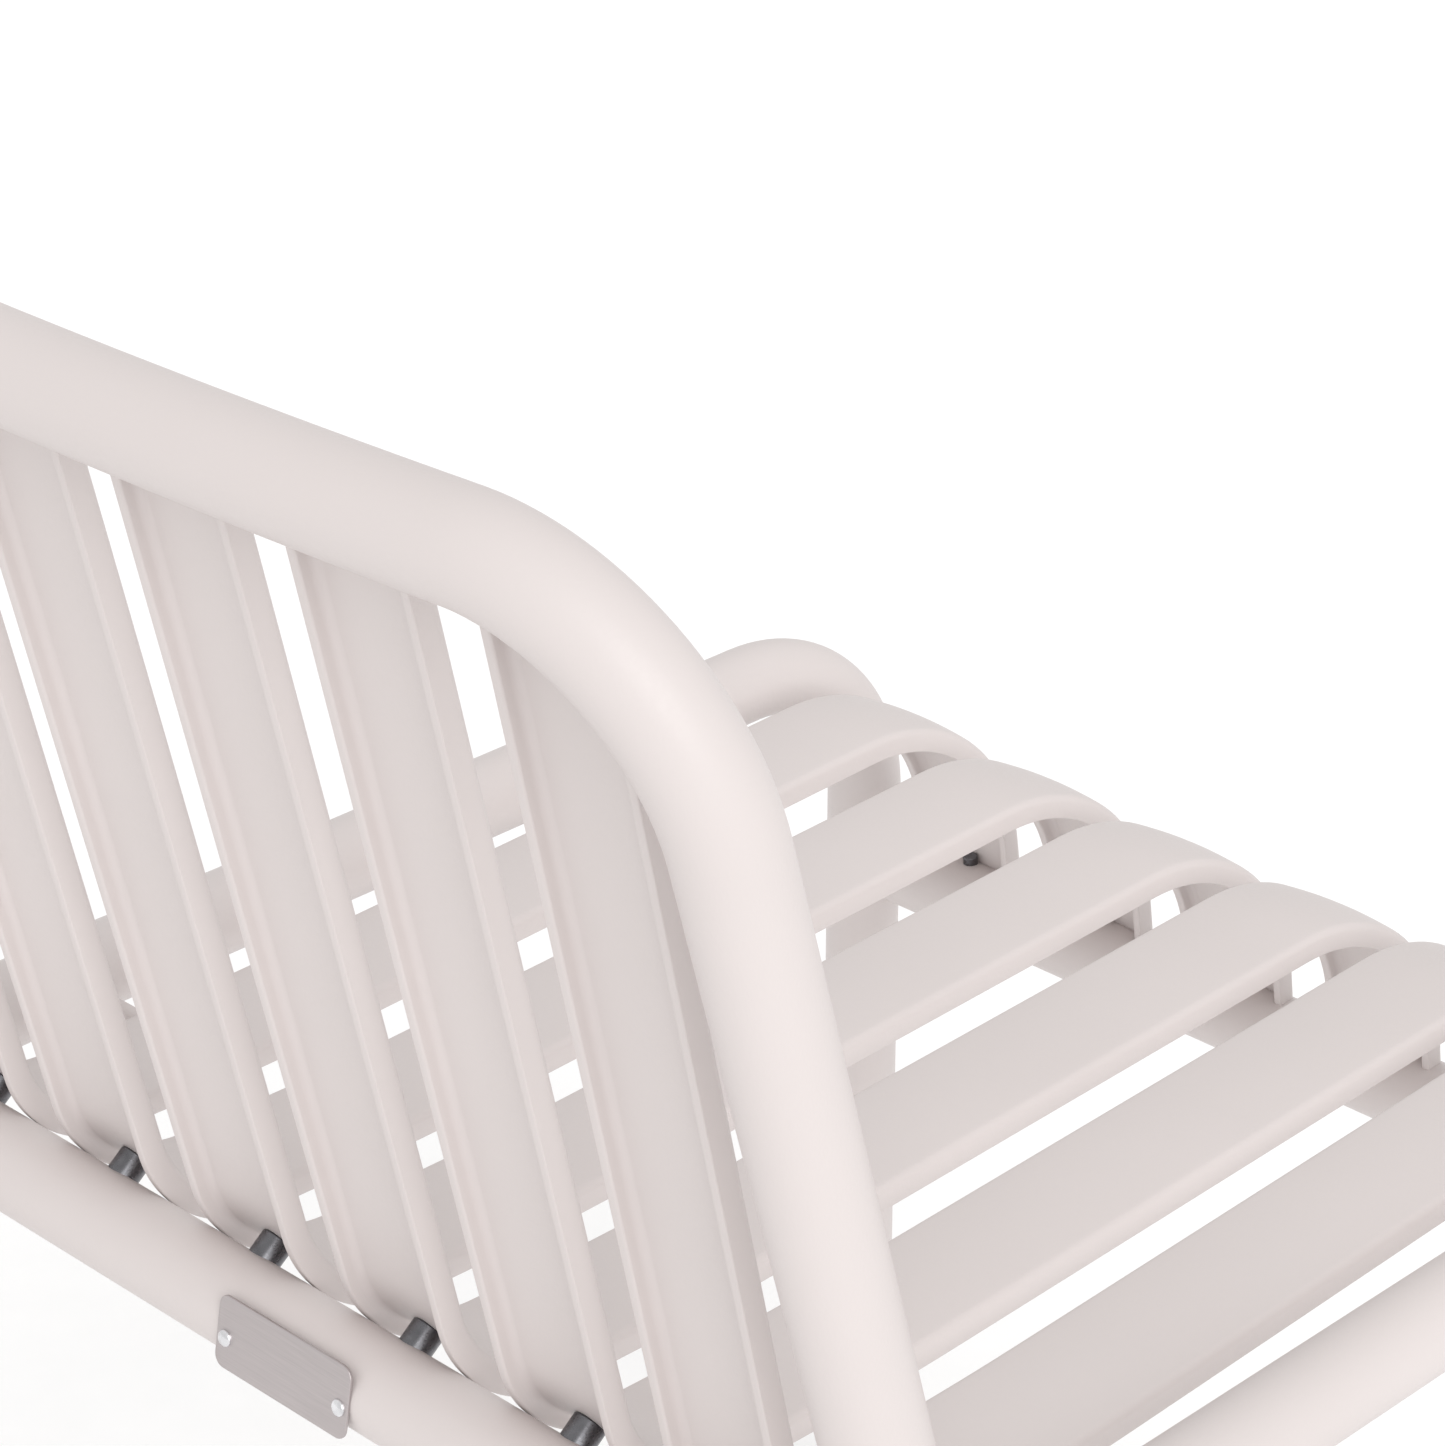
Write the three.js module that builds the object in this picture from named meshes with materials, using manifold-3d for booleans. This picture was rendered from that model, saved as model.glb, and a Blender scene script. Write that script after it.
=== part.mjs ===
// One-seat slatted garden bench: bent round-tube frame, six continuous channel slats.
// Units are millimetres. +Z is up, the seat faces -Y, the sitter's left is +X.
import * as THREE from "three";
import { mergeVertices } from "three/addons/utils/BufferGeometryUtils.js";
import Module from "manifold-3d";

const wasm = await Module();
wasm.setup();

// ---- Driving dimensions -------------------------------------------------
const TUBE_DIAMETER = 30;
const TUBE_WALL = 2;
const SEAT_HEIGHT = 440;        // slat edge line above the floor, middle of the seat
const FRAME_SPACING = 463.6;    // between the axes of the two side frames
const SEAT_TUBE_FRONT = 3.8;    // seat tube axis above the seat line, at the front leg
const SEAT_TUBE_REAR = 0.3;     // and at the rear leg
const FRONT_LEG_Y = -192;
const REAR_LEG_Y = 368;
const SIDE_BEND_RADIUS = 70;    // both bends of a side frame, to the tube axis
const GAP = 0.3;                // clearance left between touching pieces
const COPE = 4;                 // coped tube ends stop this far from the axis they meet

const SLAT_COUNT = 6;
const SLAT_PITCH = 69.3;
const SLAT_WIDTH = 47;
const SLAT_DEPTH = 9.2;
const SLAT_WEB = 2.3;
const SLAT_LIP = 3.6;
const SLAT_CROWN = 1.2;
const SLAT_EDGE_RADIUS = 3;

// Corners of a slat's run seen from the side, before rounding. Dish is how much higher
// the corner lies on the outer slats, per square millimetre off the middle of the bench.
const KNEE = { y: -184.5, z: 6.2, dish: 0.00022, radius: 85 };
const DIP = { y: 185, z: -4.2, dish: 0.00015, radius: 1200 };
const BEND = { z: -1.5, dish: 0.00015, radius: 45.5, tighten: 0.00032 };
const FRONT_DROP_SLOPE = 0.15;  // the front ends run down and slightly forward
const BACK_FOOT_Y = 279.1;      // where the line of the back meets the seat line
const BACK_SLOPE = 0.2365;      // rearward lean of the back
const BACK_BOW = 0.00013;       // outer slats lean less: bow at the top, per mm^2 off centre
const SLAT_END_LAP = 1.5;       // front ends, coped, reach this far past the top of the front rail
const SLAT_TOP_DROP = 9;        // slat tops end this far below the top rail's axis

const HOOP_TOP = 331.3;         // top rail axis above the seat line
const HOOP_FOOT_Y = 277.4;
const HOOP_TOP_Y = 375.7;       // top rail axis at mid width
const HOOP_HALF_WIDTH = 227.5;
const HOOP_CORNER_RADIUS = 68.4;
const HOOP_BOW_RADIUS = 2780;   // plan curve of the top rail

const REAR_RAIL = { y: 298.4, z: 0.8 };
const FRONT_RAIL = { y: FRONT_LEG_Y, z: -95 };
const SPACER_DIAMETER = 11;
const FRONT_SPACER = { diameter: 6, reach: 5, sink: 4 };
const SIDE_SPACER = { y: 205.5, z: -4.6, diameter: 6.5 };

const FOOT_HEIGHT = 6;
const PLATE = {
  width: 60,
  height: 23.8,
  thickness: 0.8,
  corner: 4,
  x: -6,              // fixed a little off the middle of the rail
  tilt: 10,           // degrees, its face looks slightly up
  drop: 0.7,          // plate centre below the line where it touches the rail
  rivetSpacing: 52,
  rivetDrop: 2.7,
  rivetHole: 3.6,
};

const TUBE_RADIUS = TUBE_DIAMETER / 2;
const TUBE_SIDES = 20;
const BORE_SIDES = 12;
const X_AXIS = new THREE.Vector3(1, 0, 0);

// ---- Materials ----------------------------------------------------------
const FINISHES = {
  frame_coat: { color: 0xdcd5d2, metalness: 0.0, roughness: 0.45 },
  slat_coat: { color: 0xdcd5d2, metalness: 0.0, roughness: 0.45 },
  zinc: { color: 0x8d9296, metalness: 0.9, roughness: 0.35 },
  steel_plate: { color: 0xb4b2b3, metalness: 0.9, roughness: 0.4 },
  rivet_metal: { color: 0xd0d0d2, metalness: 0.9, roughness: 0.25 },
  foot_plastic: { color: 0x2b2b2b, metalness: 0.0, roughness: 0.6 },
};

const bench = new THREE.Group();
bench.name = "garden_bench";

function addPart(name, finish, geometry) {
  const material = new THREE.MeshStandardMaterial(FINISHES[finish]);
  material.name = finish;
  geometry.computeVertexNormals();
  const mesh = new THREE.Mesh(geometry, material);
  mesh.name = name;
  bench.add(mesh);
}

// ---- Solids -------------------------------------------------------------
function toManifold(geometry) {
  const bare = geometry.clone();
  bare.deleteAttribute("normal");
  bare.deleteAttribute("uv");
  const merged = mergeVertices(bare, 1e-4);
  const vertProperties = new Float32Array(merged.attributes.position.array);
  const triVerts = new Uint32Array(merged.index.array);
  return new wasm.Manifold(new wasm.Mesh({ numProp: 3, vertProperties, triVerts }));
}

function toGeometry(solid) {
  const mesh = solid.getMesh();
  const geometry = new THREE.BufferGeometry();
  geometry.setAttribute("position", new THREE.BufferAttribute(new Float32Array(mesh.vertProperties), 3));
  geometry.setIndex(new THREE.BufferAttribute(new Uint32Array(mesh.triVerts), 1));
  return geometry;
}

// Skins a closed outline along stations; each station carries its own two axes.
function sweep(outline, stations) {
  const positions = [];
  for (const station of stations) {
    for (const point of outline) {
      const corner = station.origin.clone();
      corner.addScaledVector(station.across, point.x);
      corner.addScaledVector(station.up, point.y);
      positions.push(corner.x, corner.y, corner.z);
    }
  }
  const count = outline.length;
  const index = [];
  for (let ring = 0; ring < stations.length - 1; ring++) {
    for (let side = 0; side < count; side++) {
      const a = ring * count + side;
      const b = ring * count + ((side + 1) % count);
      index.push(a, b, b + count, a, b + count, a + count);
    }
  }
  const last = (stations.length - 1) * count;
  for (const [a, b, c] of THREE.ShapeUtils.triangulateShape(outline, [])) {
    index.push(a, c, b);
    index.push(last + a, last + b, last + c);
  }
  const geometry = new THREE.BufferGeometry();
  geometry.setAttribute("position", new THREE.Float32BufferAttribute(positions, 3));
  geometry.setIndex(index);
  return geometry;
}

function circleOutline(radius, sides) {
  const outline = [];
  for (let i = 0; i < sides; i++) {
    const angle = (2 * Math.PI * i) / sides;
    outline.push(new THREE.Vector2(radius * Math.cos(angle), radius * Math.sin(angle)));
  }
  return outline;
}

// Points of a polyline whose inner corners are rounded; radii[i] belongs to corners[i].
function roundedPath(corners, radii, steps) {
  const path = [corners[0].clone()];
  for (let i = 1; i < corners.length - 1; i++) {
    const inward = corners[i].clone().sub(corners[i - 1]).normalize();
    const outward = corners[i + 1].clone().sub(corners[i]).normalize();
    const turn = inward.angleTo(outward);
    const setback = radii[i] * Math.tan(turn / 2);
    const start = corners[i].clone().addScaledVector(inward, -setback);
    const axis = inward.clone().cross(outward).normalize();
    const toCentre = axis.clone().cross(inward);
    const centre = start.clone().addScaledVector(toCentre, radii[i]);
    for (let step = 0; step <= steps; step++) {
      const arm = start.clone().sub(centre).applyAxisAngle(axis, (turn * step) / steps);
      path.push(centre.clone().add(arm));
    }
  }
  path.push(corners[corners.length - 1].clone());
  return path;
}

// Stations along a path, each turned from the one before by the smallest rotation.
function stationsAlong(path, firstAcross) {
  const stations = [];
  let across = firstAcross.clone();
  let previous = null;
  path.forEach((origin, i) => {
    const before = path[Math.max(i - 1, 0)];
    const after = path[Math.min(i + 1, path.length - 1)];
    const tangent = after.clone().sub(before).normalize();
    if (previous) {
      across.applyQuaternion(new THREE.Quaternion().setFromUnitVectors(previous, tangent));
    }
    across = across.clone();
    stations.push({ origin, across, up: tangent.clone().cross(across) });
    previous = tangent;
  });
  return stations;
}

function tubeStations(path) {
  const tangent = path[1].clone().sub(path[0]).normalize();
  const reference = Math.abs(tangent.x) > 0.9 ? new THREE.Vector3(0, 0, 1) : X_AXIS;
  return stationsAlong(path, tangent.clone().cross(reference).normalize());
}

function rod(path, radius, sides) {
  return toManifold(sweep(circleOutline(radius, sides), tubeStations(path)));
}

function extendPath(path, length) {
  const last = path.length - 1;
  const head = path[0].clone().sub(path[1]).setLength(length);
  const tail = path[last].clone().sub(path[last - 1]).setLength(length);
  return [path[0].clone().add(head), ...path.slice(1, last), path[last].clone().add(tail)];
}

function hollowTube(path) {
  const outer = rod(path, TUBE_RADIUS, TUBE_SIDES);
  const bore = rod(extendPath(path, 2), TUBE_RADIUS - TUBE_WALL, BORE_SIDES);
  return outer.subtract(bore);
}

function straightRod(from, to, radius, sides) {
  return rod([from, to], radius, sides);
}

// ---- Side frames: front leg, seat tube and rear leg in one bent tube ------
function sidePath(x) {
  const corners = [
    new THREE.Vector3(x, FRONT_LEG_Y, FOOT_HEIGHT + GAP),
    new THREE.Vector3(x, FRONT_LEG_Y, SEAT_HEIGHT + SEAT_TUBE_FRONT),
    new THREE.Vector3(x, REAR_LEG_Y, SEAT_HEIGHT + SEAT_TUBE_REAR),
    new THREE.Vector3(x, REAR_LEG_Y, FOOT_HEIGHT + GAP),
  ];
  return roundedPath(corners, [0, SIDE_BEND_RADIUS, SIDE_BEND_RADIUS, 0], 8);
}

function sideClearance(x) {
  return rod(sidePath(x), TUBE_RADIUS + GAP, TUBE_SIDES);
}

// ---- Back hoop: two uprights and the bowed top rail in one bent tube ------
function hoopPath() {
  const bow = (x) => HOOP_TOP_Y - (HOOP_BOW_RADIUS - Math.sqrt(HOOP_BOW_RADIUS ** 2 - x ** 2));
  const top = SEAT_HEIGHT + HOOP_TOP;
  const endX = HOOP_HALF_WIDTH - HOOP_CORNER_RADIUS;
  const endSlope = endX / Math.sqrt(HOOP_BOW_RADIUS ** 2 - endX ** 2);
  const cornerY = bow(endX) - endSlope * HOOP_CORNER_RADIUS;
  const half = (side) => {
    const base = new THREE.Vector3((side * FRAME_SPACING) / 2, HOOP_FOOT_Y, SEAT_HEIGHT);
    const corner = new THREE.Vector3(side * HOOP_HALF_WIDTH, cornerY, top);
    const upright = corner.clone().sub(base).normalize();
    const foot = base.clone().addScaledVector(upright, SEAT_TUBE_REAR + COPE);
    const inner = new THREE.Vector3(side * endX * 0.8, bow(endX) + endSlope * endX * 0.2, top);
    return roundedPath([foot, corner, inner], [0, HOOP_CORNER_RADIUS, 0], 8).slice(0, -1);
  };
  const middle = [];
  const spans = 6;
  for (let i = 1; i < spans; i++) {
    const x = -endX + (2 * endX * i) / spans;
    middle.push(new THREE.Vector3(x, bow(x), top));
  }
  return [...half(-1), ...middle, ...half(1).reverse()];
}

// ---- Slats: top end, back, bend, seat, waterfall and front end in one -----
function slatOutline() {
  const half = SLAT_WIDTH / 2;
  const flat = half - SLAT_EDGE_RADIUS;
  const right = [];
  right.push(new THREE.Vector2(half - SLAT_LIP, -SLAT_DEPTH));
  right.push(new THREE.Vector2(half - 0.8, -SLAT_DEPTH));
  right.push(new THREE.Vector2(half, -SLAT_DEPTH + 0.8));
  for (let step = 0; step <= 3; step++) {
    const angle = (Math.PI / 2) * (step / 3);
    const x = flat + SLAT_EDGE_RADIUS * Math.cos(angle);
    const y = -SLAT_EDGE_RADIUS + SLAT_EDGE_RADIUS * Math.sin(angle);
    right.push(new THREE.Vector2(x, y));
  }
  right.push(new THREE.Vector2(flat * 0.5, SLAT_CROWN * 0.75));
  const left = right.map((p) => new THREE.Vector2(-p.x, p.y)).reverse();
  return [...right, new THREE.Vector2(0, SLAT_CROWN), ...left, ...slatHollow()];
}

// Underside of the web: steep at the lips, smoothly flattening to the middle.
function slatHollow() {
  const half = SLAT_WIDTH / 2 - SLAT_LIP;
  const rise = SLAT_DEPTH - SLAT_WEB;
  const points = [];
  const steps = 8;
  for (let step = 1; step < steps; step++) {
    const angle = Math.PI * (1 - step / steps);
    const x = Math.sign(Math.cos(angle)) * half * Math.abs(Math.cos(angle)) ** 0.8;
    const y = -SLAT_DEPTH + rise * Math.sin(angle) ** 0.7;
    points.push(new THREE.Vector2(x, y));
  }
  return points;
}

function slatX(number) {
  return SLAT_PITCH * ((SLAT_COUNT + 1) / 2 - number);
}

function backY(x, height) {
  return BACK_FOOT_Y + BACK_SLOPE * height - (BACK_BOW * x ** 2 * height) / HOOP_TOP;
}

// Front end, knee, dip, bend and top of the slat at x, heights above the seat line.
function slatCorners(x) {
  const frontZ = FRONT_RAIL.z + TUBE_RADIUS - SLAT_END_LAP;
  const kneeZ = KNEE.z + KNEE.dish * x ** 2;
  const bendZ = BEND.z + BEND.dish * x ** 2;
  const topZ = HOOP_TOP - SLAT_TOP_DROP;
  return [
    [KNEE.y - FRONT_DROP_SLOPE * (kneeZ - frontZ), frontZ],
    [KNEE.y, kneeZ],
    [DIP.y, DIP.z + DIP.dish * x ** 2],
    [backY(x, bendZ), bendZ],
    [backY(x, topZ), topZ],
  ].map(([y, z]) => new THREE.Vector3(x, y, SEAT_HEIGHT + z));
}

// Outer slats lie higher, so they bend tighter to reach the straight rear rail.
function bendRadius(x) {
  return BEND.radius - BEND.tighten * x ** 2;
}

function slatPath(x) {
  return roundedPath(slatCorners(x), [0, KNEE.radius, DIP.radius, bendRadius(x), 0], 8);
}

// ---- Spacers between slats and rails --------------------------------------
function bendCentre(x) {
  const [, , dip, corner, top] = slatCorners(x);
  const seatward = dip.sub(corner).normalize();
  const backward = top.sub(corner).normalize();
  const halfAngle = seatward.angleTo(backward) / 2;
  const bisector = seatward.add(backward).normalize();
  return corner.addScaledVector(bisector, bendRadius(x) / Math.sin(halfAngle));
}

function alongX(point, halfLength, radius, sides) {
  const from = new THREE.Vector3(point.x - halfLength, point.y, point.z);
  const to = new THREE.Vector3(point.x + halfLength, point.y, point.z);
  return straightRod(from, to, radius, sides);
}

function rearSpacer(x) {
  const centre = bendCentre(x);
  const rail = new THREE.Vector3(x, REAR_RAIL.y, SEAT_HEIGHT + REAR_RAIL.z);
  const toSlat = centre.clone().sub(rail).normalize();
  const from = rail.clone().addScaledVector(toSlat, TUBE_RADIUS - 4);
  const to = rail.clone().addScaledVector(toSlat, TUBE_RADIUS + SLAT_DEPTH);
  const post = straightRod(from, to, SPACER_DIAMETER / 2, 16);
  const railCut = alongX(rail, SPACER_DIAMETER, TUBE_RADIUS + GAP, 48);
  const slatCut = alongX(centre, SPACER_DIAMETER, bendRadius(x) + SLAT_WEB + 1.2, 96);
  return post.subtract(railCut).subtract(slatCut);
}

function frontRailClearance(x) {
  const rail = new THREE.Vector3(x, FRONT_RAIL.y, SEAT_HEIGHT + FRONT_RAIL.z);
  return alongX(rail, SLAT_WIDTH, TUBE_RADIUS + GAP, 48);
}

function frontSpacer(x) {
  const end = slatPath(x)[0];
  const inner = end.y + (SLAT_DEPTH + SLAT_WEB) / 2;
  const { reach, sink } = FRONT_SPACER;
  const low = new THREE.Vector3(x, inner - FRONT_DROP_SLOPE * sink, end.z - sink);
  const high = new THREE.Vector3(x, inner + FRONT_DROP_SLOPE * reach, end.z + reach);
  const post = straightRod(low, high, FRONT_SPACER.diameter / 2, 12);
  return post.subtract(frontRailClearance(x));
}

function sideSpacer(sign) {
  const tubeX = (sign * FRAME_SPACING) / 2;
  const slatEdge = sign * (slatX(1) + SLAT_WIDTH / 2 + GAP);
  const z = SEAT_HEIGHT + SIDE_SPACER.z;
  const from = new THREE.Vector3(slatEdge, SIDE_SPACER.y, z);
  const to = new THREE.Vector3(tubeX, SIDE_SPACER.y, z);
  const post = straightRod(from, to, SIDE_SPACER.diameter / 2, 16);
  return post.subtract(sideClearance(tubeX));
}

// ---- Nameplate: blank flat plate riveted to the back of the rear rail -----
function roundedRectangle(width, height, radius) {
  const shape = new THREE.Shape();
  const x = width / 2;
  const y = height / 2;
  shape.moveTo(-x + radius, -y);
  shape.lineTo(x - radius, -y);
  shape.absarc(x - radius, -y + radius, radius, -Math.PI / 2, 0);
  shape.lineTo(x, y - radius);
  shape.absarc(x - radius, y - radius, radius, 0, Math.PI / 2);
  shape.lineTo(-x + radius, y);
  shape.absarc(-x + radius, y - radius, radius, Math.PI / 2, Math.PI);
  shape.lineTo(-x, -y + radius);
  shape.absarc(-x + radius, -y + radius, radius, Math.PI, 1.5 * Math.PI);
  return shape;
}

// Moves a solid built in the XY plane, facing +Z with +Y for down, onto the rail.
function placeOnRail(geometry) {
  geometry.translate(0, 0, TUBE_RADIUS + GAP);
  geometry.rotateX(THREE.MathUtils.degToRad(PLATE.tilt - 90));
  geometry.translate(PLATE.x, REAR_RAIL.y, SEAT_HEIGHT + REAR_RAIL.z);
  return geometry;
}

function nameplate() {
  const shape = roundedRectangle(PLATE.width, PLATE.height, PLATE.corner);
  for (const sign of [-1, 1]) {
    const hole = new THREE.Path();
    const x = (sign * PLATE.rivetSpacing) / 2;
    hole.absarc(x, PLATE.rivetDrop - PLATE.drop, PLATE.rivetHole / 2, 0, 2 * Math.PI, true);
    shape.holes.push(hole);
  }
  const depth = PLATE.thickness;
  const plate = new THREE.ExtrudeGeometry(shape, { depth, bevelEnabled: false, curveSegments: 5 });
  plate.translate(0, PLATE.drop, 0);
  return placeOnRail(plate);
}

// Shank through the plate's hole with a domed head outside it.
function rivet(sign) {
  const seat = PLATE.thickness + GAP / 3;
  const shank = PLATE.rivetHole / 2 - GAP;
  const head = PLATE.rivetHole / 2 + 1;
  const outline = [
    new THREE.Vector2(0, 0),
    new THREE.Vector2(shank, 0),
    new THREE.Vector2(shank, seat),
    new THREE.Vector2(head, seat),
    new THREE.Vector2(head * 0.75, seat + 0.9),
    new THREE.Vector2(0, seat + 1.3),
  ];
  const geometry = new THREE.LatheGeometry(outline, 12);
  geometry.rotateX(Math.PI / 2);
  geometry.translate((sign * PLATE.rivetSpacing) / 2, PLATE.rivetDrop, 0);
  return placeOnRail(geometry);
}

// ---- Feet: plugs in the leg ends with a flat glide below ------------------
function foot(x, y) {
  const stem = TUBE_RADIUS - TUBE_WALL - 0.8;
  const outline = [
    new THREE.Vector2(0, 0),
    new THREE.Vector2(TUBE_RADIUS + 0.5, 0),
    new THREE.Vector2(TUBE_RADIUS + 1.5, 1),
    new THREE.Vector2(TUBE_RADIUS + 1.5, FOOT_HEIGHT),
    new THREE.Vector2(stem, FOOT_HEIGHT),
    new THREE.Vector2(stem, FOOT_HEIGHT + 20),
    new THREE.Vector2(0, FOOT_HEIGHT + 20),
  ];
  const geometry = new THREE.LatheGeometry(outline, 20);
  geometry.rotateX(Math.PI / 2);
  geometry.translate(x, y, 0);
  return geometry;
}

// ---- Build ----------------------------------------------------------------
const outline = slatOutline();
const hoop = hoopPath();
const hoopClearance = rod(hoop, TUBE_RADIUS + GAP, TUBE_SIDES);

function trimToSides(solid) {
  const half = FRAME_SPACING / 2;
  return solid.subtract(sideClearance(half)).subtract(sideClearance(-half));
}

function crossRail({ y, z }) {
  const half = FRAME_SPACING / 2 - COPE;
  const from = new THREE.Vector3(-half, y, SEAT_HEIGHT + z);
  const to = new THREE.Vector3(half, y, SEAT_HEIGHT + z);
  return trimToSides(hollowTube([from, to])).subtract(hoopClearance);
}

for (const [side, sign] of [["left", 1], ["right", -1]]) {
  const x = (sign * FRAME_SPACING) / 2;
  addPart(`side_frame_${side}`, "frame_coat", toGeometry(hollowTube(sidePath(x))));
  addPart(`foot_front_${side}`, "foot_plastic", foot(x, FRONT_LEG_Y));
  addPart(`foot_rear_${side}`, "foot_plastic", foot(x, REAR_LEG_Y));
  addPart(`side_spacer_${side}`, "frame_coat", toGeometry(sideSpacer(sign)));
  addPart(`plate_rivet_${side}`, "rivet_metal", rivet(sign));
}

addPart("back_hoop", "frame_coat", toGeometry(trimToSides(hollowTube(hoop))));
addPart("front_rail", "frame_coat", toGeometry(crossRail(FRONT_RAIL)));
addPart("rear_rail", "frame_coat", toGeometry(crossRail(REAR_RAIL)));
addPart("nameplate", "steel_plate", nameplate());

for (let number = 1; number <= SLAT_COUNT; number++) {
  const x = slatX(number);
  const stations = stationsAlong(slatPath(x), X_AXIS.clone().negate());
  const run = toManifold(sweep(outline, stations));
  const slat = run.subtract(hoopClearance).subtract(frontRailClearance(x));
  addPart(`slat_${number}`, "slat_coat", toGeometry(slat));
  addPart(`rear_spacer_${number}`, "zinc", toGeometry(rearSpacer(x)));
  addPart(`front_spacer_${number}`, "zinc", toGeometry(frontSpacer(x)));
}

// ---- Stand the bench on the floor, centred on the origin ------------------
const bounds = new THREE.Box3().setFromObject(bench);
const centre = bounds.getCenter(new THREE.Vector3());
for (const part of bench.children) {
  part.geometry.translate(-centre.x, -centre.y, -bounds.min.z);
}

export default bench;
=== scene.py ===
"""Slatted garden seat: detailed tubes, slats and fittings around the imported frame.

Everything is in metres in the part's own frame: +Z up, the seat faces -Y, the sitter's left is +X.
"""

import math

import bpy
from mathutils import Matrix, Quaternion, Vector


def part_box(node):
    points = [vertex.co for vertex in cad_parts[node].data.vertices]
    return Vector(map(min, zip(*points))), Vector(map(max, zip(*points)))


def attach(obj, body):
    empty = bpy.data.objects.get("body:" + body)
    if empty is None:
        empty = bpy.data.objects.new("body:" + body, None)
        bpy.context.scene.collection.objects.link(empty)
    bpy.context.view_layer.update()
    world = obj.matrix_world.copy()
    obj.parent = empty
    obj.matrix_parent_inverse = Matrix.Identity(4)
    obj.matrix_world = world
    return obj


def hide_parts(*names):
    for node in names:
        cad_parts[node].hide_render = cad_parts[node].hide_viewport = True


MM = 0.001

# ---- Dimensions shared with the CAD part, in metres ------------------------
TUBE_RADIUS = 15 * MM
SEAT_HEIGHT = 440 * MM
SIDE_X = 231.8 * MM
SEAT_TUBE_FRONT = 3.8 * MM
SEAT_TUBE_REAR = 0.3 * MM
FRONT_LEG_Y = -192 * MM
REAR_LEG_Y = 368 * MM
SIDE_BEND_RADIUS = 70 * MM
FOOT_HEIGHT = 6 * MM

SLAT_COUNT = 6
SLAT_PITCH = 69.3 * MM
SLAT_WIDTH = 47 * MM
SLAT_DEPTH = 9.2 * MM
SLAT_WEB = 2.3 * MM
HOLLOW_FILLET = 3.2 * MM
HOLLOW_SAG = 0.9 * MM
SLAT_LIP = 3.6 * MM
SLAT_CROWN = 1.2 * MM
SLAT_EDGE_RADIUS = 3 * MM
SLAT_END_LAP = 1.5 * MM         # front ends reach this far past the top of the front rail
# The seat is dished: its corners lie higher on the outer slats, per metre off centre, squared.
KNEE = (-184.5 * MM, 6.2 * MM)
KNEE_DISH = 0.22
KNEE_RADIUS = 85 * MM
DIP = (185 * MM, -4.2 * MM)
DIP_RADIUS = 1200 * MM
BEND_Z = -1.5 * MM
BEND_RADIUS = 45.5 * MM
BEND_TIGHTEN = 0.32             # outer slats bend tighter, per metre off centre, squared
SEAT_DISH = 0.15
FRONT_DROP_SLOPE = 0.15
BACK_FOOT_Y = 279.1 * MM
BACK_SLOPE = 0.2365
BACK_BOW = 0.13                 # bow of the slat tops, per metre off centre, squared
SLAT_TOP_DROP = 9 * MM

HOOP_TOP = 331.3 * MM
HOOP_FOOT_Y = 277.4 * MM
HOOP_TOP_Y = 375.7 * MM
HOOP_HALF_WIDTH = 227.5 * MM
HOOP_CORNER_RADIUS = 68.4 * MM
HOOP_BOW_RADIUS = 2.78

REAR_RAIL = (298.4 * MM, 0.8 * MM)      # y, and z above the seat line
FRONT_RAIL = (FRONT_LEG_Y, -95 * MM)
REAR_SPACER_RADIUS = 5.5 * MM
FRONT_SPACER_RADIUS = 3 * MM
FRONT_SPACER_SINK = 3 * MM      # below the slat's front end, inside the rail
FRONT_SPACER_REACH = 5 * MM     # and above it, inside the channel
SIDE_SPACER = (205.5 * MM, -4.6 * MM)
SIDE_SPACER_RADIUS = 3.25 * MM

PLATE_SIZE = (60 * MM, 23.8 * MM, 0.8 * MM)
PLATE_CORNER = 4 * MM
PLATE_X = -6 * MM
PLATE_TILT = math.radians(10)
PLATE_DROP = 0.7 * MM
RIVET_SPACING = 52 * MM
RIVET_DROP = 2.7 * MM

# ---- Light and viewpoint ---------------------------------------------------
TENT_STRENGTH = 0.91
KEY_ENERGY = 1.45
KEY_SPREAD = math.radians(45)
KEY_TRAVEL = (0.78, -0.41, -0.47)
CAMERA_PLACE = (-0.87636, 0.91192, 1.17983)
CAMERA_AZIMUTH = math.radians(224.883)
CAMERA_ELEVATION = math.radians(25.502)
CAMERA_LENS = 110.36            # millimetres, on a sensor 36 mm wide

# ---- How finely the pieces are meshed --------------------------------------
TUBE_SIDES = 64
BEND_STEPS = 28
BEAD_SIDES = 10
BEAD_RADIUS = 1.5 * MM

X_AXIS = Vector((1, 0, 0))

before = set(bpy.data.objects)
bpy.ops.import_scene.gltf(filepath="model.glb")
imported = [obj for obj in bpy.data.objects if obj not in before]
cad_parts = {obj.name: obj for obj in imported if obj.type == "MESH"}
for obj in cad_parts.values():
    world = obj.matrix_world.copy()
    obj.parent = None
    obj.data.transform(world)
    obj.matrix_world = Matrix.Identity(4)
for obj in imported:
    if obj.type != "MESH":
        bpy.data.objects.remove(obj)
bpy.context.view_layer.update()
side_low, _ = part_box("side_frame_left")
SHIFT_Y = side_low.y - (FRONT_LEG_Y - TUBE_RADIUS)


def point(x, y, above_seat):
    """A point given as in the part's drawing: y from the drawing origin, z above the seat line."""
    return Vector((x, y + SHIFT_Y, SEAT_HEIGHT + above_seat))


# ---- Meshes ----------------------------------------------------------------
def new_piece(name, vertices, faces, smooth_angle=35):
    mesh = bpy.data.meshes.new(name)
    mesh.from_pydata([tuple(v) for v in vertices], [], faces)
    mesh.validate()
    mesh.shade_smooth()
    mesh.set_sharp_from_angle(angle=math.radians(smooth_angle))
    piece = bpy.data.objects.new(name, mesh)
    bpy.context.scene.collection.objects.link(piece)
    return piece


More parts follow.
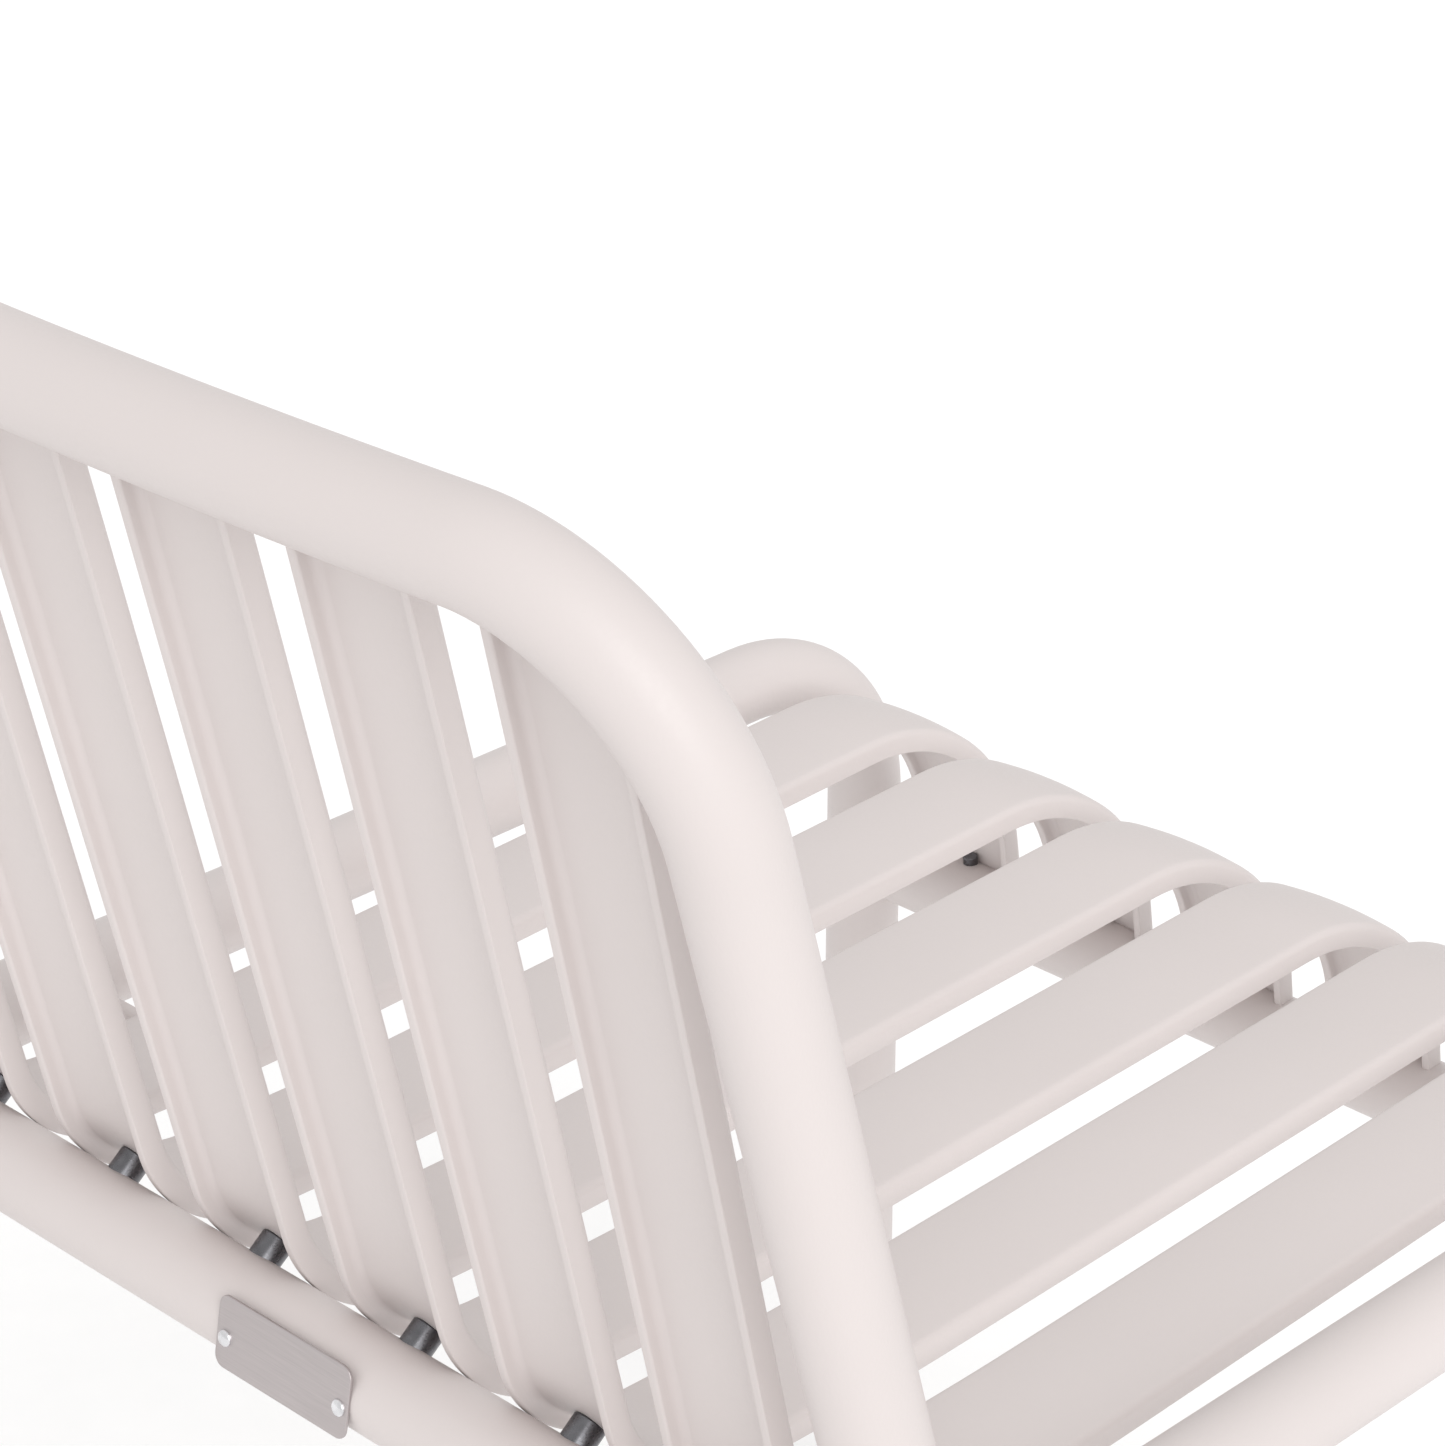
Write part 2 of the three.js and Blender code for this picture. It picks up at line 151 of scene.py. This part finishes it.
def finish_piece(piece, material, slot, *nodes):
    """Rides on the frame, stands for its CAD nodes, and takes its finish."""
    piece.data.materials.append(material)
    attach(piece, "root")
    if nodes:
        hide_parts(*nodes)
    return piece


def circle(radius, sides):
    turn = 2 * math.pi / sides
    return [Vector((radius * math.cos(i * turn), radius * math.sin(i * turn))) for i in range(sides)]


def sweep(outline, stations, closed=False):
    """Skins a closed outline along stations of (origin, across, up, scale)."""
    vertices = []
    for origin, across, up, scale in stations:
        for p in outline:
            vertices.append(origin + across * (p.x * scale) + up * (p.y * scale))
    count = len(outline)
    rings = len(stations)
    faces = []
    for ring in range(rings if closed else rings - 1):
        near = ring * count
        far = ((ring + 1) % rings) * count
        for side in range(count):
            other = (side + 1) % count
            faces.append((near + side, near + other, far + other, far + side))
    if not closed:
        faces.append(tuple(reversed(range(count))))
        faces.append(tuple(range((rings - 1) * count, rings * count)))
    return vertices, faces


def rounded_path(corners, radii, steps=BEND_STEPS):
    """A polyline whose inner corners are rounded; radii[i] belongs to corners[i]."""
    path = [corners[0].copy()]
    for i in range(1, len(corners) - 1):
        inward = (corners[i] - corners[i - 1]).normalized()
        outward = (corners[i + 1] - corners[i]).normalized()
        turn = inward.angle(outward)
        start = corners[i] - inward * (radii[i] * math.tan(turn / 2))
        axis = inward.cross(outward).normalized()
        centre = start + axis.cross(inward) * radii[i]
        for step in range(steps + 1):
            spin = Quaternion(axis, turn * step / steps)
            path.append(centre + spin @ (start - centre))
    path.append(corners[-1].copy())
    return path


def stations_along(path, first_across, scales=None, closed=False):
    """Stations on a path, each turned from the one before by the smallest rotation."""
    stations = []
    across = first_across.copy()
    previous = None
    last = len(path) - 1
    for i, origin in enumerate(path):
        before = path[i - 1] if closed or i > 0 else path[0]
        after = path[(i + 1) % len(path)] if closed or i < last else path[last]
        tangent = (after - before).normalized()
        if previous is not None:
            across = previous.rotation_difference(tangent) @ across
        scale = scales[i] if scales else 1.0
        stations.append((origin, across.copy(), tangent.cross(across), scale))
        previous = tangent
    return stations


def tube(name, path, radius, sides=TUBE_SIDES, edge=0.4 * MM):
    """A round bar along a path, its two end edges eased a little."""
    start = (path[1] - path[0]).normalized()
    end = (path[-1] - path[-2]).normalized()
    ends = [path[0], path[0] + start * edge, *path[1:-1], path[-1] - end * edge, path[-1]]
    scales = [1 - edge / radius] + [1.0] * (len(ends) - 2) + [1 - edge / radius]
    helper = Vector((0, 0, 1)) if abs(start.x) > 0.9 else X_AXIS
    across = start.cross(helper).normalized()
    vertices, faces = sweep(circle(radius, sides), stations_along(ends, across, scales))
    return new_piece(name, vertices, faces)


def lathe(name, profile, placement, sides=48):
    """Spins (radius, height) points round the local Z axis and places the result."""
    vertices = []
    rings = []
    for radius, height in profile:
        if radius < 1e-7:
            rings.append([len(vertices)])
            vertices.append(placement @ Vector((0, 0, height)))
            continue
        rings.append(list(range(len(vertices), len(vertices) + sides)))
        for p in circle(radius, sides):
            vertices.append(placement @ Vector((p.x, p.y, height)))
    faces = []
    for low, high in zip(rings, rings[1:]):
        for i in range(sides):
            j = (i + 1) % sides
            if len(low) == 1:
                faces.append((low[0], high[j], high[i]))
            elif len(high) == 1:
                faces.append((low[i], low[j], high[0]))
            else:
                faces.append((low[i], low[j], high[j], high[i]))
    return new_piece(name, vertices, faces)


# ---- Tube paths ------------------------------------------------------------
def side_path(sign):
    x = sign * SIDE_X
    floor_z = FOOT_HEIGHT - SEAT_HEIGHT
    corners = [
        point(x, FRONT_LEG_Y, floor_z),
        point(x, FRONT_LEG_Y, SEAT_TUBE_FRONT),
        point(x, REAR_LEG_Y, SEAT_TUBE_REAR),
        point(x, REAR_LEG_Y, floor_z),
    ]
    return rounded_path(corners, [0, SIDE_BEND_RADIUS, SIDE_BEND_RADIUS, 0])


def hoop_bow(x):
    """How far back the top rail lies at x, on its shallow plan curve."""
    return HOOP_TOP_Y - (HOOP_BOW_RADIUS - math.sqrt(HOOP_BOW_RADIUS**2 - x * x))


def hoop_half(sign):
    end_x = HOOP_HALF_WIDTH - HOOP_CORNER_RADIUS
    slope = end_x / math.sqrt(HOOP_BOW_RADIUS**2 - end_x**2)
    corner_y = hoop_bow(end_x) - slope * HOOP_CORNER_RADIUS
    corners = [
        point(sign * SIDE_X, HOOP_FOOT_Y, SEAT_TUBE_REAR),
        point(sign * HOOP_HALF_WIDTH, corner_y, HOOP_TOP),
        point(sign * end_x * 0.8, hoop_bow(end_x) + slope * end_x * 0.2, HOOP_TOP),
    ]
    return rounded_path(corners, [0, HOOP_CORNER_RADIUS, 0])[:-1]


def hoop_path():
    end_x = HOOP_HALF_WIDTH - HOOP_CORNER_RADIUS
    spans = 24
    middle = []
    for i in range(1, spans):
        x = -end_x + 2 * end_x * i / spans
        middle.append(point(x, hoop_bow(x), HOOP_TOP))
    return hoop_half(-1) + middle + hoop_half(1)[::-1]


def rail_ends(rail):
    y, z = rail
    return [point(-SIDE_X, y, z), point(SIDE_X, y, z)]


# ---- Slats -----------------------------------------------------------------
def arc(centre_x, centre_y, radius, start, end, steps):
    points = []
    for step in range(steps + 1):
        angle = math.radians(start + (end - start) * step / steps)
        points.append(Vector((centre_x + radius * math.cos(angle), centre_y + radius * math.sin(angle))))
    return points


def slat_outline():
    """Channel section seen along the slat: crowned web on top, two lips below."""
    half = SLAT_WIDTH / 2
    flat = half - SLAT_EDGE_RADIUS
    lip_corner = 0.5 * MM
    inner_corner = 0.9 * MM
    right = arc(half - SLAT_LIP + inner_corner, -SLAT_DEPTH + inner_corner, inner_corner, 180, 270, 4)
    right += arc(half - lip_corner, -SLAT_DEPTH + lip_corner, lip_corner, 270, 360, 4)
    right += arc(flat, -SLAT_EDGE_RADIUS, SLAT_EDGE_RADIUS, 0, 84, 8)
    crown_steps = 6
    for step in range(crown_steps):
        x = flat * (1 - (step + 1) / (crown_steps + 1))
        right.append(Vector((x, SLAT_CROWN * (1 - (x / flat) ** 2))))
    left = [Vector((-p.x, p.y)) for p in reversed(right)]
    return [*right, Vector((0, SLAT_CROWN)), *left, *slat_hollow(inner_corner)]


def slat_hollow(start_rise):
    """Underside of the web: upright lip walls, a round fillet, then a slightly crowned web."""
    half = SLAT_WIDTH / 2 - SLAT_LIP
    fillet = HOLLOW_FILLET
    left = arc(-half + fillet, -SLAT_WEB - fillet - HOLLOW_SAG, fillet, 180, 95, 8)
    web_steps = 6
    flat = half - fillet
    web = []
    for step in range(1, 2 * web_steps):
        x = flat * (step / web_steps - 1)
        web.append(Vector((x, -SLAT_WEB - HOLLOW_SAG * (x / flat) ** 2)))
    right = [Vector((-p.x, p.y)) for p in reversed(left)]
    lowest = -SLAT_DEPTH + start_rise
    return [p for p in [*left, *web, *right] if p.y > lowest]


def slat_x(number):
    return SLAT_PITCH * ((SLAT_COUNT + 1) / 2 - number)


def back_y(x, height):
    return BACK_FOOT_Y + BACK_SLOPE * height - BACK_BOW * x * x * height / HOOP_TOP


def slat_corners(x):
    """Front end, knee, dip, seat-to-back bend and top of the slat at x."""
    front_z = FRONT_RAIL[1] + TUBE_RADIUS - SLAT_END_LAP
    knee_z = KNEE[1] + KNEE_DISH * x * x
    bend_z = BEND_Z + SEAT_DISH * x * x
    top_z = HOOP_TOP - SLAT_TOP_DROP
    return [
        point(x, KNEE[0] - FRONT_DROP_SLOPE * (knee_z - front_z), front_z),
        point(x, KNEE[0], knee_z),
        point(x, DIP[0], DIP[1] + SEAT_DISH * x * x),
        point(x, back_y(x, bend_z), bend_z),
        point(x, back_y(x, top_z), top_z),
    ]


def bend_radius(x):
    """Outer slats lie higher, so they bend tighter to reach the straight rear rail."""
    return BEND_RADIUS - BEND_TIGHTEN * x * x


def slat_path(x):
    return rounded_path(slat_corners(x), [0, KNEE_RADIUS, DIP_RADIUS, bend_radius(x), 0])


def bend_centre(x):
    """Centre of the seat-to-back bend's inner curve."""
    _, _, dip, corner, top = slat_corners(x)
    seatward = (dip - corner).normalized()
    backward = (top - corner).normalized()
    half_angle = seatward.angle(backward) / 2
    bisector = (seatward + backward).normalized()
    return corner + bisector * (bend_radius(x) / math.sin(half_angle))


# ---- Materials -------------------------------------------------------------
class Nodes:
    """A material's node tree with short ways to add and join nodes."""

    def __init__(self, name):
        self.material = bpy.data.materials.new(name)
        self.material.use_nodes = True
        self.tree = self.material.node_tree
        self.shader = self.tree.nodes["Principled BSDF"]
        self.place = self.tree.nodes.new("ShaderNodeTexCoord").outputs["Object"]

    def add(self, kind, **values):
        node = self.tree.nodes.new(kind)
        for key, value in values.items():
            if key in node.inputs:
                node.inputs[key].default_value = value
            else:
                setattr(node, key, value)
        return node

    def link(self, source, target):
        self.tree.links.new(source, target)

    def noise(self, scale, detail=2.0, stretch=(1, 1, 1)):
        """Noise in the row frame; a large stretch value squeezes the pattern along that axis."""
        mapping = self.add("ShaderNodeMapping", Scale=stretch)
        self.link(self.place, mapping.inputs["Vector"])
        texture = self.add("ShaderNodeTexNoise", Scale=scale, Detail=detail)
        self.link(mapping.outputs["Vector"], texture.inputs["Vector"])
        return texture.outputs["Fac"]

    def between(self, factor, low, high, spread=0.25):
        """Turns noise into a value from low to high, with contrast round its middle."""
        ranged = self.add("ShaderNodeMapRange")
        ranged.inputs["From Min"].default_value = 0.5 - spread
        ranged.inputs["From Max"].default_value = 0.5 + spread
        ranged.inputs["To Min"].default_value = low
        ranged.inputs["To Max"].default_value = high
        self.link(factor, ranged.inputs["Value"])
        return ranged.outputs["Result"]

    def tint(self, factor, low, high):
        """A colour that moves from low to high with a factor."""
        mix = self.add("ShaderNodeMix", data_type="RGBA")
        colour_sockets = [s for s in mix.inputs if s.type == "RGBA"]
        colour_sockets[0].default_value = (*low, 1)
        colour_sockets[1].default_value = (*high, 1)
        self.link(factor, mix.inputs["Factor"])
        return next(s for s in mix.outputs if s.type == "RGBA")

    def bump(self, height, distance, strength, under=None):
        node = self.add("ShaderNodeBump", Distance=distance, Strength=strength)
        self.link(height, node.inputs["Height"])
        if under:
            self.link(under, node.inputs["Normal"])
        return node.outputs["Normal"]


def shade(colour, factor):
    return tuple(c * factor for c in colour)


def powder_coat(name, colour, streaks):
    """Satin powder coat: fine orange peel, slow tone drift and faint streaks along the metal."""
    nodes = Nodes(name)
    drift = nodes.between(nodes.noise(7, 3), 0, 1)
    base = nodes.tint(drift, shade(colour, 0.975), shade(colour, 1.02))
    nodes.link(base, nodes.shader.inputs["Base Color"])
    peel = nodes.noise(750, 2)
    nodes.link(nodes.between(peel, 0.40, 0.52), nodes.shader.inputs["Roughness"])
    normal = nodes.bump(peel, 0.12 * MM, 0.35)
    if streaks:
        lines = nodes.noise(1, 3, stretch=(420, 9, 9))
        normal = nodes.bump(lines, 0.10 * MM, 0.25, normal)
    nodes.link(normal, nodes.shader.inputs["Normal"])
    return nodes.material


def plated_steel(name, colour, roughness):
    """Zinc plating: cloudy tone with fine turning marks."""
    nodes = Nodes(name)
    cloud = nodes.between(nodes.noise(260, 4), 0, 1)
    base = nodes.tint(cloud, shade(colour, 0.8), shade(colour, 1.2))
    nodes.link(base, nodes.shader.inputs["Base Color"])
    nodes.shader.inputs["Metallic"].default_value = 1.0
    grain = nodes.noise(1600, 2)
    nodes.link(nodes.between(grain, roughness * 0.8, roughness * 1.25), nodes.shader.inputs["Roughness"])
    nodes.link(nodes.bump(grain, 0.05 * MM, 0.3), nodes.shader.inputs["Normal"])
    return nodes.material


def brushed_steel(name, colour):
    """Plate stock brushed along its length."""
    nodes = Nodes(name)
    lines = nodes.noise(1, 3, stretch=(60, 2600, 2600))
    base = nodes.tint(nodes.between(lines, 0, 1), shade(colour, 0.9), shade(colour, 1.08))
    nodes.link(base, nodes.shader.inputs["Base Color"])
    nodes.shader.inputs["Metallic"].default_value = 1.0
    nodes.link(nodes.between(lines, 0.36, 0.52), nodes.shader.inputs["Roughness"])
    nodes.link(nodes.bump(lines, 0.03 * MM, 0.4), nodes.shader.inputs["Normal"])
    return nodes.material


def moulded_plastic(name, colour):
    """Fine spark-eroded texture of a moulded foot."""
    nodes = Nodes(name)
    grain = nodes.noise(1400, 3)
    nodes.link(nodes.tint(grain, shade(colour, 0.8), shade(colour, 1.3)), nodes.shader.inputs["Base Color"])
    nodes.link(nodes.between(grain, 0.5, 0.7), nodes.shader.inputs["Roughness"])
    nodes.link(nodes.bump(grain, 0.08 * MM, 0.5), nodes.shader.inputs["Normal"])
    return nodes.material


COAT_COLOUR = (0.628, 0.576, 0.564)
FRAME_COAT = powder_coat("frame_coat", COAT_COLOUR, streaks=False)
SLAT_COAT = powder_coat("slat_coat", COAT_COLOUR, streaks=True)
# Plated steel for the spacers. Its base colour is darkened far below bright zinc: part real plated metal,
# part painted shade and painted dark reflection of the shaded gap under the slats.
ZINC_WITH_PAINTED_SHADE = plated_steel("zinc", (0.15, 0.15, 0.16), 0.30)
PLATE_STEEL = brushed_steel("steel_plate", (0.50, 0.46, 0.46))
RIVET_METAL = plated_steel("rivet_metal", (0.78, 0.78, 0.80), 0.22)
FOOT_PLASTIC = moulded_plastic("foot_plastic", (0.022, 0.022, 0.023))


# ---- Frame pieces ----------------------------------------------------------
def build_tubes():
    for side, sign in (("left", 1), ("right", -1)):
        piece = tube(f"side_frame_{side}_tube", side_path(sign), TUBE_RADIUS)
        finish_piece(piece, FRAME_COAT, "frame_coat", f"side_frame_{side}")
        y, z = SIDE_SPACER
        start = point(sign * (slat_x(1) + SLAT_WIDTH / 2), y, z)
        pin = tube(f"side_spacer_{side}_pin", [start, point(sign * SIDE_X, y, z)], SIDE_SPACER_RADIUS, 32)
        finish_piece(pin, FRAME_COAT, "frame_coat", f"side_spacer_{side}")
    finish_piece(tube("back_hoop_tube", hoop_path(), TUBE_RADIUS), FRAME_COAT, "frame_coat", "back_hoop")
    for name, rail in (("front_rail", FRONT_RAIL), ("rear_rail", REAR_RAIL)):
        piece = tube(f"{name}_tube", rail_ends(rail), TUBE_RADIUS)
        finish_piece(piece, FRAME_COAT, "frame_coat", name)


def weld_bead(name, origin, along, beside):
    """The bead round a tube that meets another of the same size square on.

    along points out of the joint down the coped tube, beside lies along the other tube's axis."""
    third = along.cross(beside)
    path = []
    scales = []
    steps = 160
    ripples = 44
    for step in range(steps):
        angle = 2 * math.pi * step / steps
        side = math.cos(angle) * TUBE_RADIUS
        height = math.sin(angle) * TUBE_RADIUS
        reach = math.hypot(side, 0.12 * TUBE_RADIUS)
        path.append(origin + along * reach + beside * side + third * height)
        scales.append(1 + 0.09 * math.cos(ripples * angle))
    stations = stations_along(path, along, scales, closed=True)
    vertices, faces = sweep(circle(BEAD_RADIUS, BEAD_SIDES), stations, closed=True)
    return new_piece(name, vertices, faces, 60)


def build_welds():
    for side, sign in (("left", 1), ("right", -1)):
        inward = Vector((-sign, 0, 0))
        y, z = REAR_RAIL
        rear = weld_bead(f"weld_rear_rail_{side}", point(sign * SIDE_X, y, z), inward, Vector((0, 1, 0)))
        finish_piece(rear, FRAME_COAT, "frame_coat")
        y, z = FRONT_RAIL
        front = weld_bead(f"weld_front_rail_{side}", point(sign * SIDE_X, y, z), inward, Vector((0, 0, 1)))
        finish_piece(front, FRAME_COAT, "frame_coat")
        foot = hoop_half(sign)
        upright = (foot[1] - foot[0]).normalized()
        hoop = weld_bead(f"weld_hoop_{side}", foot[0], upright, Vector((0, 1, 0)))
        finish_piece(hoop, FRAME_COAT, "frame_coat")


# ---- Slats and their fittings ----------------------------------------------
def build_slats():
    outline = slat_outline()
    for number in range(1, SLAT_COUNT + 1):
        stations = stations_along(slat_path(slat_x(number)), -X_AXIS)
        vertices, faces = sweep(outline, stations)
        piece = new_piece(f"slat_{number}_channel", vertices, faces, 30)
        finish_piece(piece, SLAT_COAT, "slat_coat", f"slat_{number}")


def rear_spacer(number):
    """Turned sleeve between the rear rail and the channel of a slat."""
    x = slat_x(number)
    rail = point(x, *REAR_RAIL)
    to_slat = (bend_centre(x) - rail).normalized()
    start = rail + to_slat * (TUBE_RADIUS - 1.5 * MM)
    end = rail + to_slat * (TUBE_RADIUS + SLAT_DEPTH - SLAT_WEB + 1 * MM)
    length = (end - start).length
    radius = REAR_SPACER_RADIUS
    profile = [(0, 0), (radius, 0), (radius, length - 1 * MM), (radius - 1 * MM, length), (0, length)]
    spin = to_slat.to_track_quat("Z", "Y").to_matrix().to_4x4()
    return lathe(f"rear_spacer_{number}_sleeve", profile, Matrix.Translation(start) @ spin)


def front_spacer(number):
    """Pin that holds a slat's front end on the rail."""
    x = slat_x(number)
    end = slat_path(x)[0]
    inner = end.y + (SLAT_DEPTH + SLAT_WEB) / 2
    low = Vector((x, inner - FRONT_DROP_SLOPE * FRONT_SPACER_SINK, end.z - FRONT_SPACER_SINK))
    high = Vector((x, inner + FRONT_DROP_SLOPE * FRONT_SPACER_REACH, end.z + FRONT_SPACER_REACH))
    return tube(f"front_spacer_{number}_pin", [low, high], FRONT_SPACER_RADIUS, 32)


def build_fittings():
    for number in range(1, SLAT_COUNT + 1):
        # Both spacers take the dark plated finish, whose darkness is partly painted shade.
        finish_piece(rear_spacer(number), ZINC_WITH_PAINTED_SHADE, "zinc", f"rear_spacer_{number}")
        finish_piece(front_spacer(number), ZINC_WITH_PAINTED_SHADE, "zinc", f"front_spacer_{number}")


def foot_profile():
    radius = TUBE_RADIUS + 1.5 * MM
    return [
        (0, 0.4 * MM),
        (radius - 4 * MM, 0.4 * MM),
        (radius - 3.6 * MM, 0),
        (radius - 1.2 * MM, 0),
        (radius - 0.3 * MM, 0.4 * MM),
        (radius, 1.3 * MM),
        (radius, FOOT_HEIGHT - 0.6 * MM),
        (radius - 0.2 * MM, FOOT_HEIGHT - 0.2 * MM),
        (radius - 0.7 * MM, FOOT_HEIGHT),
        (TUBE_RADIUS - 3 * MM, FOOT_HEIGHT),
        (TUBE_RADIUS - 3 * MM, FOOT_HEIGHT + 3 * MM),
        (0, FOOT_HEIGHT + 3 * MM),
    ]


def build_feet():
    for place, y in (("front", FRONT_LEG_Y), ("rear", REAR_LEG_Y)):
        for side, sign in (("left", 1), ("right", -1)):
            base = point(sign * SIDE_X, y, -SEAT_HEIGHT)
            name = f"foot_{place}_{side}"
            piece = lathe(f"{name}_glide", foot_profile(), Matrix.Translation(base))
            finish_piece(piece, FOOT_PLASTIC, "foot_plastic", name)


# ---- Nameplate -------------------------------------------------------------
def on_rail():
    """Places a flat thing built facing +Z, with +Y for down, against the rail's back."""
    to_rail = Matrix.Translation(point(PLATE_X, *REAR_RAIL))
    tilt = Matrix.Rotation(PLATE_TILT - math.pi / 2, 4, "X")
    return to_rail @ tilt @ Matrix.Translation((0, 0, TUBE_RADIUS + 0.1 * MM))


def plate_outline(inset):
    width, height, _ = PLATE_SIZE
    corner = PLATE_CORNER - inset
    x = width / 2 - PLATE_CORNER
    y = height / 2 - PLATE_CORNER
    outline = arc(x, y, corner, 0, 90, 8)
    outline += arc(-x, y, corner, 90, 180, 8)
    outline += arc(-x, -y, corner, 180, 270, 8)
    outline += arc(x, -y, corner, 270, 360, 8)
    return outline


def build_nameplate():
    """A blank plate: its edges are rounded over all round."""
    thickness = PLATE_SIZE[2]
    layers = [(0, 0), (0, thickness * 0.7), (0.1 * MM, thickness * 0.93), (0.3 * MM, thickness)]
    placement = on_rail() @ Matrix.Translation((0, PLATE_DROP, 0))
    vertices = []
    for inset, height in layers:
        for p in plate_outline(inset):
            vertices.append(placement @ Vector((p.x, p.y, height)))
    count = len(plate_outline(0))
    faces = [tuple(reversed(range(count)))]
    for layer in range(len(layers) - 1):
        for i in range(count):
            j = (i + 1) % count
            near = layer * count
            far = near + count
            faces.append((near + i, near + j, far + j, far + i))
    faces.append(tuple(range((len(layers) - 1) * count, len(layers) * count)))
    plate = new_piece("nameplate_blank", vertices, faces, 50)
    finish_piece(plate, PLATE_STEEL, "steel_plate", "nameplate")


def build_rivets():
    head = 2.8 * MM
    dome = 1.3 * MM
    seat = PLATE_SIZE[2] - 0.2 * MM
    rim = PLATE_SIZE[2] + 0.15 * MM
    profile = [(0, seat), (head, seat), (head, rim)]
    for step in range(1, 9):
        angle = math.pi / 2 * step / 8
        height = rim + dome * math.sin(angle)
        profile.append((head * math.cos(angle) if step < 8 else 0, height))
    for side, sign in (("left", 1), ("right", -1)):
        offset = Matrix.Translation((sign * RIVET_SPACING / 2, RIVET_DROP, 0))
        piece = lathe(f"plate_rivet_{side}_head", profile, on_rail() @ offset)
        finish_piece(piece, RIVET_METAL, "rivet_metal", f"plate_rivet_{side}")


# ---- Studio ----------------------------------------------------------------
def build_floor():
    size = 14.0
    corners = [(-size, -size, 0), (size, -size, 0), (size, size, 0), (-size, size, 0)]
    floor = new_piece("studio_floor", [Vector(c) for c in corners], [(0, 1, 2, 3)])
    nodes = Nodes("studio_floor")
    speck = nodes.between(nodes.noise(40, 2), 0, 1)
    base = nodes.tint(speck, (0.97, 0.97, 0.97), (0.985, 0.985, 0.985))
    nodes.link(base, nodes.shader.inputs["Base Color"])
    nodes.shader.inputs["Roughness"].default_value = 0.9
    nodes.shader.inputs["Specular IOR Level"].default_value = 0.1
    floor.data.materials.append(nodes.material)


def build_lights():
    """An even white tent, and one broad soft key from behind on the sitter's right."""
    world = bpy.data.worlds.new("studio_world")
    world.use_nodes = True
    background = world.node_tree.nodes["Background"]
    background.inputs["Color"].default_value = (1.0, 0.995, 0.99, 1)
    background.inputs["Strength"].default_value = TENT_STRENGTH
    bpy.context.scene.world = world
    data = bpy.data.lights.new("key", "SUN")
    data.energy = KEY_ENERGY
    data.angle = KEY_SPREAD
    key = bpy.data.objects.new("key", data)
    key.rotation_euler = Vector(KEY_TRAVEL).to_track_quat("-Z", "Y").to_euler()
    bpy.context.scene.collection.objects.link(key)


def build_camera():
    """The photograph's viewpoint: from behind on the sitter's right, looking down over the back."""
    data = bpy.data.cameras.new("camera")
    data.sensor_width = 36
    data.sensor_fit = "HORIZONTAL"
    data.lens = CAMERA_LENS
    data.clip_end = 60
    camera = bpy.data.objects.new("camera", data)
    level = math.cos(CAMERA_ELEVATION)
    away_x = math.sin(CAMERA_AZIMUTH) * level
    away_y = -math.cos(CAMERA_AZIMUTH) * level
    away = Vector((away_x, away_y, math.sin(CAMERA_ELEVATION)))
    camera.location = CAMERA_PLACE
    camera.rotation_euler = (-away).to_track_quat("-Z", "Y").to_euler()
    bpy.context.scene.collection.objects.link(camera)
    bpy.context.scene.camera = camera


build_tubes()
build_welds()
build_slats()
build_fittings()
build_feet()
build_nameplate()
build_rivets()
build_floor()
build_lights()
build_camera()
bpy.context.scene.view_settings.view_transform = "Standard"
